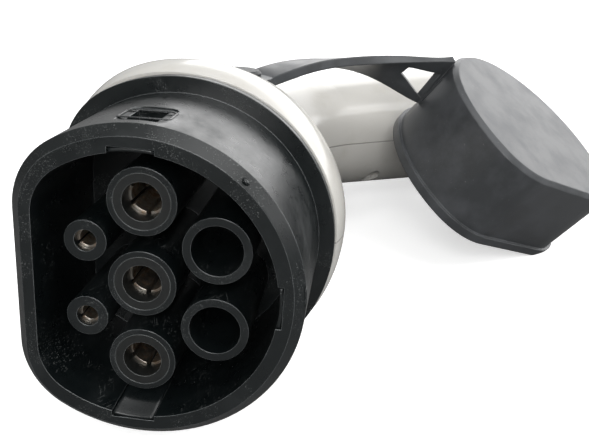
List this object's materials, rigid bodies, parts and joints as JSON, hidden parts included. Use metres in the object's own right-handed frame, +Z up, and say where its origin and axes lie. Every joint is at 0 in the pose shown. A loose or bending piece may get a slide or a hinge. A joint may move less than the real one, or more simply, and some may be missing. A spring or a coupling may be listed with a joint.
{
  "type": "vehicle charging connector",
  "caption": "Hand-held vehicle charging connector with a flat-sided socket nose, a bent two-part grip, a cable gland and a tethered dust cap.",
  "frame": {"origin": "centre of the earth socket's mouth, 3.7 mm behind the rim of the nose, on the nose's axis", "axes": "-Y along the nose axis out of the front, -X square to the flat side of the nose, +Z up with the connector lying on its side, +X is the side the handle bends to"},
  "size_m": [0.1349, 0.1921, 0.0662],
  "materials": {
    "nose": "moulded black glass-filled nylon, semi-gloss and scuffed",
    "mouth_rings": "moulded black nylon",
    "contacts": "turned copper alloy, silver plated",
    "retainer": "moulded dark nylon",
    "screws": "zinc-plated steel",
    "housing": "moulded white polycarbonate, glossy",
    "seals": "moulded black silicone",
    "gland": "moulded black nylon",
    "cap_rubber": "moulded black soft rubber, matte"
  },
  "bodies": {
    "connector": {"nose_shroud": "nose", "line_mouth_ring": "mouth_rings", "earth_mouth_ring": "mouth_rings", "neutral_mouth_ring": "mouth_rings", "line_socket": "contacts", "earth_socket": "contacts", "neutral_socket": "contacts", "pilot_socket": "contacts", "proximity_socket": "contacts", "contact_retainer": "retainer", "retainer_screws": "screws", "collar_ring": "housing", "nose_seal": "seals", "collar_gasket": "seals", "upper_shell": "housing", "lower_shell": "housing", "housing_screws": "screws", "cord_clamp": "retainer", "clamp_screws": "screws", "gland_body": "gland", "gland_grommet": "seals", "gland_nut": "gland", "strap_stud": "gland"},
    "cap": {"dust_cap": "cap_rubber"}
  },
  "joints": [
    {"name": "cap_swivel", "type": "hinge", "parent": "connector", "child": "cap", "pos_m": [0.003, 0.0743, 0.02345], "axis": [0, 0, 1], "range_deg": [-60, 0]}
  ]
}
